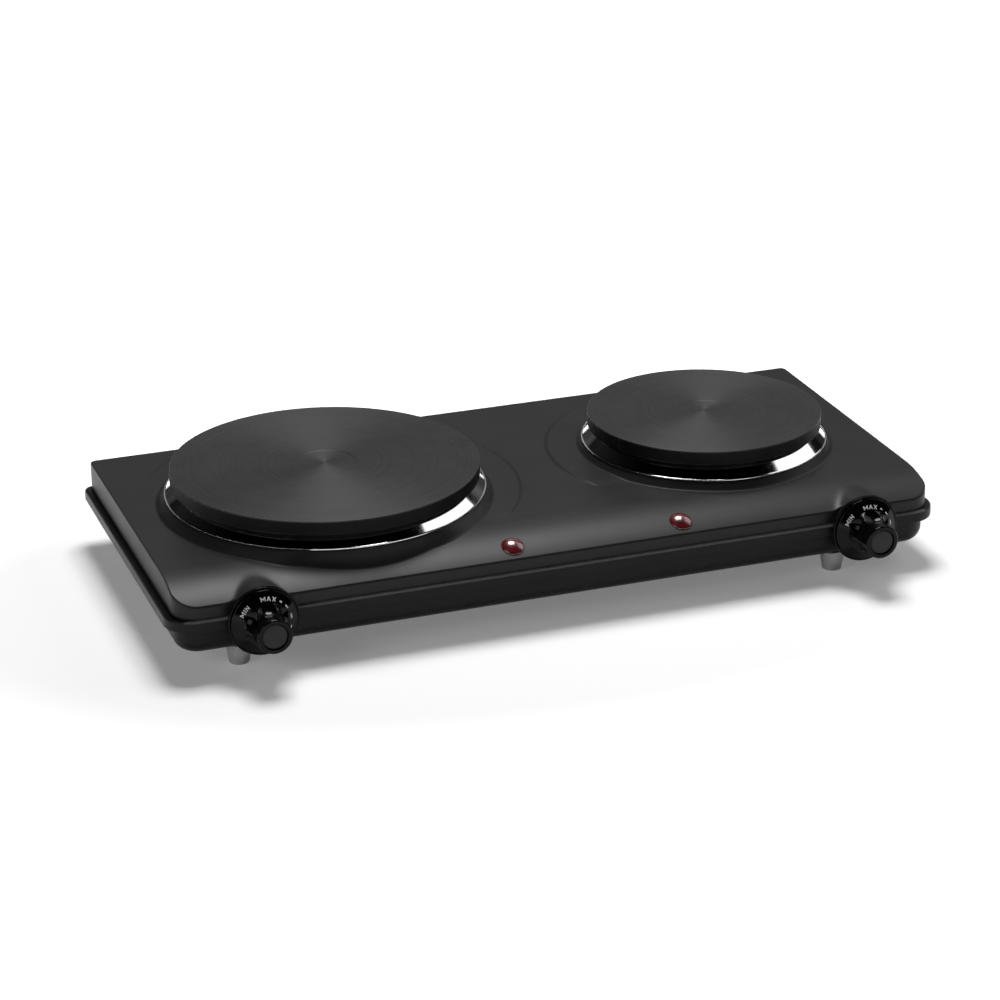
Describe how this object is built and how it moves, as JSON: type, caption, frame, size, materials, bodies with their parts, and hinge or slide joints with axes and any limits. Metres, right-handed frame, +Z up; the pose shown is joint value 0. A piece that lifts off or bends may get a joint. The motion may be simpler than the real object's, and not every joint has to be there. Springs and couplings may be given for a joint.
{
  "type": "hot plate burner",
  "caption": "Electric hot plate with a large and a small cast-iron plate side by side on a low black steel housing, a turning knob and a pilot lamp for each, and rubber feet.",
  "frame": {"origin": "middle of the overall outline on the surface that the feet stand on", "axes": "+X to the right seen from the knobs, +Y to the back, +Z up"},
  "size_m": [0.479, 0.2504, 0.0754],
  "materials": {
    "black_enamel": "satin black paint with a fine texture",
    "tray_enamel": "satin black paint",
    "cast_iron": "turned cast iron, dark heat-proof coating",
    "bright_ring": "bright polished steel",
    "coil_wire": "oxidised heating wire",
    "ceramic": "unglazed ceramic",
    "plated_steel": "zinc-plated steel",
    "brass": "bright brass",
    "knob_gloss": "gloss black plastic",
    "cap_matt": "matt dark grey plastic",
    "lamp_red": "clear red plastic",
    "white_plastic": "white heat-proof plastic",
    "grey_rubber": "matt grey rubber",
    "black_rubber": "matt black rubber",
    "wire_brown": "brown wire sleeve",
    "wire_black": "black wire sleeve",
    "wire_blue": "blue wire sleeve",
    "wire_green": "green wire sleeve",
    "wire_grey": "grey wire sleeve"
  },
  "bodies": {
    "housing": {"top_cover": "black_enamel", "base_tray": "tray_enamel", "hotplate_large": "cast_iron", "hotplate_small": "cast_iron", "spill_ring_large": "bright_ring", "spill_ring_small": "bright_ring", "heating_core_large": "ceramic", "heating_core_small": "ceramic", "heating_coils_large": "coil_wire", "heating_coils_small": "coil_wire", "heat_shield_large": "plated_steel", "heat_shield_small": "plated_steel", "clamp_bridge_large": "plated_steel", "clamp_bridge_small": "plated_steel", "plate_studs": "plated_steel", "stud_washers": "plated_steel", "stud_nuts": "plated_steel", "plate_terminal_large": "ceramic", "plate_terminal_small": "ceramic", "plate_terminal_tabs": "brass", "thermostat_left": "ceramic", "thermostat_right": "ceramic", "thermostat_tabs": "brass", "bush_nuts": "plated_steel", "dial_plate_left": "knob_gloss", "dial_plate_right": "knob_gloss", "lamp_lens_left": "lamp_red", "lamp_lens_right": "lamp_red", "lamp_body_left": "white_plastic", "lamp_body_right": "white_plastic", "lamp_clips": "plated_steel", "cover_posts": "plated_steel", "tray_screws": "plated_steel", "foot_front_left": "grey_rubber", "foot_front_right": "grey_rubber", "foot_back_left": "grey_rubber", "foot_back_right": "grey_rubber", "foot_screws": "plated_steel", "foot_nuts": "plated_steel", "cord_bushing": "black_rubber", "mains_terminal_block": "white_plastic", "mains_terminal_screws": "brass", "earth_stud": "plated_steel", "earth_tab": "brass", "wires_live": "wire_brown", "wires_switched": "wire_black", "wires_neutral": "wire_blue", "wire_earth": "wire_green", "lamp_leads": "wire_grey"},
    "knob_left": {"knob_left": "knob_gloss", "knob_cap_left": "cap_matt", "thermostat_shaft_left": "plated_steel"},
    "knob_right": {"knob_right": "knob_gloss", "knob_cap_right": "cap_matt", "thermostat_shaft_right": "plated_steel"}
  },
  "joints": [
    {"name": "knob_left_turn", "type": "hinge", "parent": "housing", "child": "knob_left", "pos_m": [-0.1865, -0.11675, 0.0325], "axis": [0, -1, 0], "range_deg": [0, 300]},
    {"name": "knob_right_turn", "type": "hinge", "parent": "housing", "child": "knob_right", "pos_m": [0.1865, -0.11675, 0.0325], "axis": [0, -1, 0], "range_deg": [0, 300]}
  ]
}
